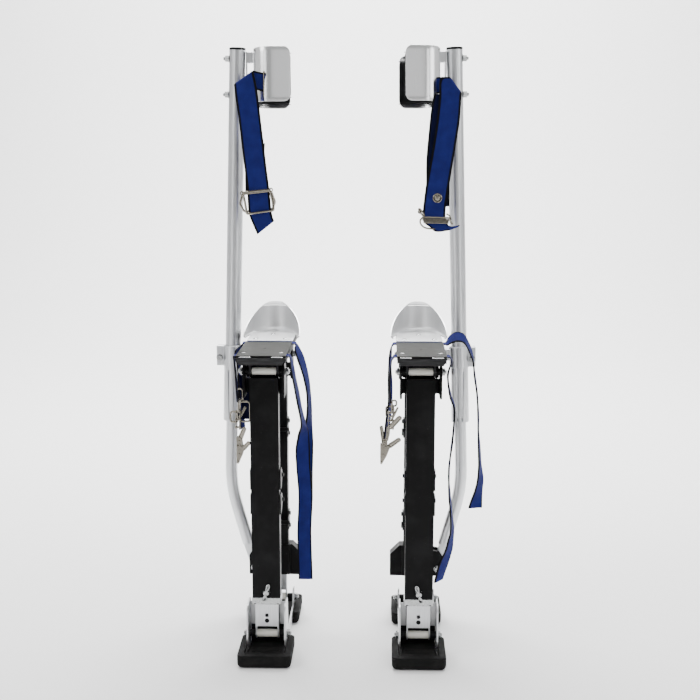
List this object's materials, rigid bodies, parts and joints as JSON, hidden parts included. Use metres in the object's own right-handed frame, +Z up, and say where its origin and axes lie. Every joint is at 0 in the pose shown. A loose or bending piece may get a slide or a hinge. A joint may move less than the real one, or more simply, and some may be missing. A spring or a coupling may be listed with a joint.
{
  "type": "drywall stilts",
  "caption": "Pair of height-adjustable drywall stilts: sprung parallelogram struts on rubber feet, foot platform with heel cup, leg pole and padded calf band.",
  "frame": {"origin": "floor level, at the middle of the pair's outer box", "axes": "+Z up; the toes point to -Y; the wearer's left stilt is at +X"},
  "size_m": [0.5529, 0.333, 1.1895],
  "materials": {
    "aluminium": "satin, drawn tube",
    "polished_aluminium": "polished",
    "brushed_plate": "brushed",
    "black_paint": "satin black paint on aluminium",
    "zinc": "zinc plated",
    "nickel": "nickel plated",
    "nylon": "cream nylon",
    "rubber": "moulded matt",
    "foam": "knit skin on closed-cell foam",
    "webbing": "woven polypropylene"
  },
  "bodies": {
    "floor": {"right_front_foot": "rubber", "right_rear_foot": "rubber", "right_floor_channel": "aluminium", "right_front_lower_bolt": "zinc", "right_rear_lower_bolt": "zinc", "right_front_lower_bush": "nylon", "left_front_foot": "rubber", "left_rear_foot": "rubber", "left_floor_channel": "aluminium", "left_front_lower_bolt": "zinc", "left_rear_lower_bolt": "zinc", "left_front_lower_bush": "nylon"},
    "right_front_lower_leg": {"right_front_inner_strut": "aluminium"},
    "right_rear_lower_leg": {"right_rear_inner_strut": "aluminium"},
    "right_front_upper_leg": {"right_front_outer_strut": "black_paint", "right_front_upper_bolt": "zinc", "right_front_upper_bush": "nylon"},
    "right_rear_upper_leg": {"right_rear_outer_strut": "black_paint", "right_rear_upper_bolt": "zinc", "right_lower_pole": "aluminium", "right_pole_clamp": "aluminium"},
    "right_wing_screw": {"right_front_wing_bolt": "zinc"},
    "right_platform": {"right_platform_pan": "aluminium", "right_sole_plate": "brushed_plate", "right_toe_strap": "webbing", "right_ankle_strap": "webbing", "right_foot_buckle": "nickel"},
    "right_heel": {"right_heel_cup": "polished_aluminium"},
    "right_leg_pole": {"right_upper_pole": "aluminium", "right_calf_arm": "aluminium"},
    "right_calf_rest": {"right_calf_band": "polished_aluminium", "right_calf_pad": "foam", "right_calf_strap": "webbing", "right_calf_buckle": "nickel"},
    "right_upper_spring_unit": {"right_upper_spring": "zinc"},
    "right_lower_spring_unit": {"right_lower_spring": "zinc"},
    "left_front_lower_leg": {"left_front_inner_strut": "aluminium"},
    "left_rear_lower_leg": {"left_rear_inner_strut": "aluminium"},
    "left_front_upper_leg": {"left_front_outer_strut": "black_paint", "left_front_upper_bolt": "zinc", "left_front_upper_bush": "nylon"},
    "left_rear_upper_leg": {"left_rear_outer_strut": "black_paint", "left_rear_upper_bolt": "zinc", "left_lower_pole": "aluminium", "left_pole_clamp": "aluminium"},
    "left_wing_screw": {"left_front_wing_bolt": "zinc"},
    "left_platform": {"left_platform_pan": "aluminium", "left_sole_plate": "brushed_plate", "left_toe_strap": "webbing", "left_ankle_strap": "webbing", "left_foot_buckle": "nickel"},
    "left_heel": {"left_heel_cup": "polished_aluminium"},
    "left_leg_pole": {"left_upper_pole": "aluminium", "left_calf_arm": "aluminium"},
    "left_calf_rest": {"left_calf_band": "polished_aluminium", "left_calf_pad": "foam", "left_calf_strap": "webbing", "left_calf_buckle": "nickel"},
    "left_upper_spring_unit": {"left_upper_spring": "zinc"},
    "left_lower_spring_unit": {"left_lower_spring": "zinc"}
  },
  "joints": [
    {"name": "right_lean", "type": "hinge", "parent": "floor", "child": "right_front_lower_leg", "pos_m": [-0.158, -0.0845, 0.039], "axis": [1, 0, 0], "range_deg": [-10, 10], "stiffness_Nm_per_rad": 150, "deforming": ["right_upper_spring", "right_lower_spring"]},
    {"name": "right_rear_lean", "type": "hinge", "parent": "floor", "child": "right_rear_lower_leg", "pos_m": [-0.158, 0.1075, 0.039], "axis": [1, 0, 0], "range_deg": [-11, 11]},
    {"name": "right_height", "type": "slide", "parent": "right_front_lower_leg", "child": "right_front_upper_leg", "axis": [0, 0, 1], "range_m": [0, 0.4064]},
    {"name": "right_rear_height", "type": "slide", "parent": "right_rear_lower_leg", "child": "right_rear_upper_leg", "axis": [0, 0, 1], "range_m": [0, 0.408]},
    {"name": "right_foot_level", "type": "hinge", "parent": "right_front_upper_leg", "child": "right_platform", "pos_m": [-0.158, -0.0845, 0.572], "axis": [1, 0, 0], "range_deg": [-11, 11]},
    {"name": "right_wing_turn", "type": "hinge", "parent": "right_front_upper_leg", "child": "right_wing_screw", "pos_m": [-0.158, -0.0845, 0.131], "axis": [0, 1, 0], "range_deg": [-180, 180]},
    {"name": "right_heel_slide", "type": "slide", "parent": "right_platform", "child": "right_heel", "axis": [0, 1, 0], "range_m": [-0.01, 0.03]},
    {"name": "right_calf_height", "type": "slide", "parent": "right_rear_upper_leg", "child": "right_leg_pole", "axis": [0.0314, 0, 0.9995], "range_m": [0, 0.1]},
    {"name": "right_calf_tilt", "type": "hinge", "parent": "right_leg_pole", "child": "right_calf_rest", "pos_m": [-0.22405, 0.1075, 1.17], "axis": [1, 0, 0], "range_deg": [-10, 10]},
    {"name": "right_upper_spring_swing", "type": "hinge", "parent": "right_rear_upper_leg", "child": "right_upper_spring_unit", "pos_m": [-0.158, 0.0795, 0.416], "axis": [1, 0, 0], "range_deg": [-12.9, 12.9]},
    {"name": "right_lower_spring_swing", "type": "hinge", "parent": "right_rear_upper_leg", "child": "right_lower_spring_unit", "pos_m": [-0.158, 0.0795, 0.214], "axis": [1, 0, 0], "range_deg": [-10.6, 10.6]},
    {"name": "left_lean", "type": "hinge", "parent": "floor", "child": "left_front_lower_leg", "pos_m": [0.142, -0.0845, 0.039], "axis": [1, 0, 0], "range_deg": [-10, 10], "stiffness_Nm_per_rad": 150, "deforming": ["left_upper_spring", "left_lower_spring"]},
    {"name": "left_rear_lean", "type": "hinge", "parent": "floor", "child": "left_rear_lower_leg", "pos_m": [0.142, 0.1075, 0.039], "axis": [1, 0, 0], "range_deg": [-11, 11]},
    {"name": "left_height", "type": "slide", "parent": "left_front_lower_leg", "child": "left_front_upper_leg", "axis": [0, 0, 1], "range_m": [0, 0.4064]},
    {"name": "left_rear_height", "type": "slide", "parent": "left_rear_lower_leg", "child": "left_rear_upper_leg", "axis": [0, 0, 1], "range_m": [0, 0.408]},
    {"name": "left_foot_level", "type": "hinge", "parent": "left_front_upper_leg", "child": "left_platform", "pos_m": [0.142, -0.0845, 0.572], "axis": [1, 0, 0], "range_deg": [-11, 11]},
    {"name": "left_wing_turn", "type": "hinge", "parent": "left_front_upper_leg", "child": "left_wing_screw", "pos_m": [0.142, -0.0845, 0.131], "axis": [0, 1, 0], "range_deg": [-180, 180]},
    {"name": "left_heel_slide", "type": "slide", "parent": "left_platform", "child": "left_heel", "axis": [0, 1, 0], "range_m": [-0.01, 0.03]},
    {"name": "left_calf_height", "type": "slide", "parent": "left_rear_upper_leg", "child": "left_leg_pole", "axis": [-0.0314, 0, 0.9995], "range_m": [0, 0.1]},
    {"name": "left_calf_tilt", "type": "hinge", "parent": "left_leg_pole", "child": "left_calf_rest", "pos_m": [0.20805, 0.1075, 1.17], "axis": [1, 0, 0], "range_deg": [-10, 10]},
    {"name": "left_upper_spring_swing", "type": "hinge", "parent": "left_rear_upper_leg", "child": "left_upper_spring_unit", "pos_m": [0.142, 0.0795, 0.416], "axis": [1, 0, 0], "range_deg": [-12.9, 12.9]},
    {"name": "left_lower_spring_swing", "type": "hinge", "parent": "left_rear_upper_leg", "child": "left_lower_spring_unit", "pos_m": [0.142, 0.0795, 0.214], "axis": [1, 0, 0], "range_deg": [-10.6, 10.6]}
  ],
  "couplings": [
    {"joint": "right_upper_spring_swing", "follows": "right_lean", "ratio": -1.1945},
    {"joint": "right_lower_spring_swing", "follows": "right_lean", "ratio": -0.9554},
    {"joint": "right_rear_lean", "follows": "right_lean", "ratio": 1},
    {"joint": "right_foot_level", "follows": "right_lean", "ratio": -1},
    {"joint": "right_rear_height", "follows": "right_height", "ratio": 1},
    {"joint": "left_upper_spring_swing", "follows": "left_lean", "ratio": -1.1945},
    {"joint": "left_lower_spring_swing", "follows": "left_lean", "ratio": -0.9554},
    {"joint": "left_rear_lean", "follows": "left_lean", "ratio": 1},
    {"joint": "left_foot_level", "follows": "left_lean", "ratio": -1},
    {"joint": "left_rear_height", "follows": "left_height", "ratio": 1}
  ]
}
